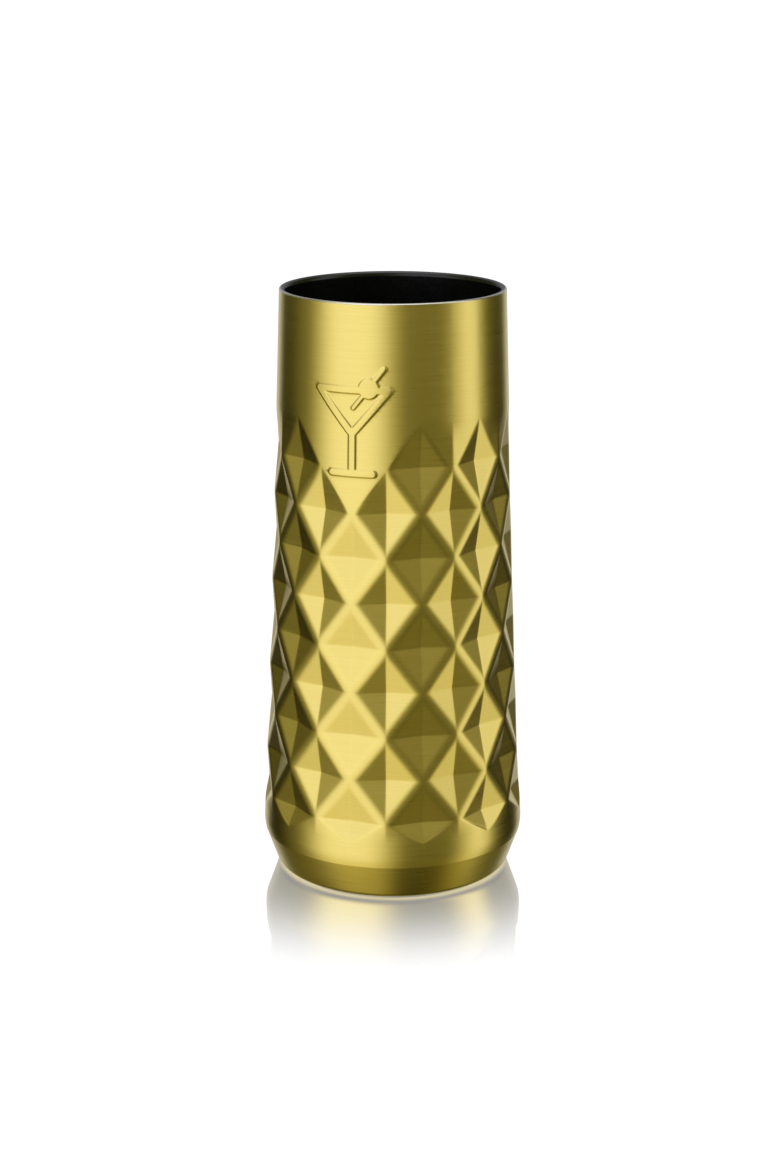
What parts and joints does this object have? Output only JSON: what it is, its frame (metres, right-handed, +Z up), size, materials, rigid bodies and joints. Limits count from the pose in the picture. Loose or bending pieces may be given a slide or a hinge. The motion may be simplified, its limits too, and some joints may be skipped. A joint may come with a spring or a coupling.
{
  "type": "cocktail shaker body",
  "caption": "Double-walled gold-coloured cocktail shaker body with pressed lozenge facets, a black-lined open cup, a rounded welded lip and a silicone foot.",
  "frame": {"origin": "centre of the foot pad's underside, on the vessel's axis", "axes": "+Z up along the vessel's axis, -Y through the emblem"},
  "size_m": [0.0914, 0.0914, 0.2056],
  "materials": {
    "gold_steel": "brushed gold-coloured steel",
    "black_coating": "black coating",
    "bare_steel": "plain steel",
    "weld_steel": "weld bead",
    "copper_foil": "copper foil",
    "solder_glass": "solder glass",
    "getter_powder": "pressed powder",
    "adhesive_film": "adhesive film",
    "silicone": "matt silicone"
  },
  "bodies": {
    "root": {"outer_shell": "gold_steel", "liner_wall": "black_coating", "liner_bottom": "black_coating", "mouth_weld_bead": "weld_steel", "liner_bottom_weld": "weld_steel", "radiation_foil": "copper_foil", "vacuum_base_plate": "bare_steel", "vacuum_plate_weld": "weld_steel", "sealing_glass_bead": "solder_glass", "getter_cup": "bare_steel", "getter_pellet": "getter_powder", "outer_base_cover": "gold_steel", "base_cover_weld": "weld_steel", "foot_pad_adhesive": "adhesive_film", "foot_pad": "silicone"}
  },
  "joints": []
}
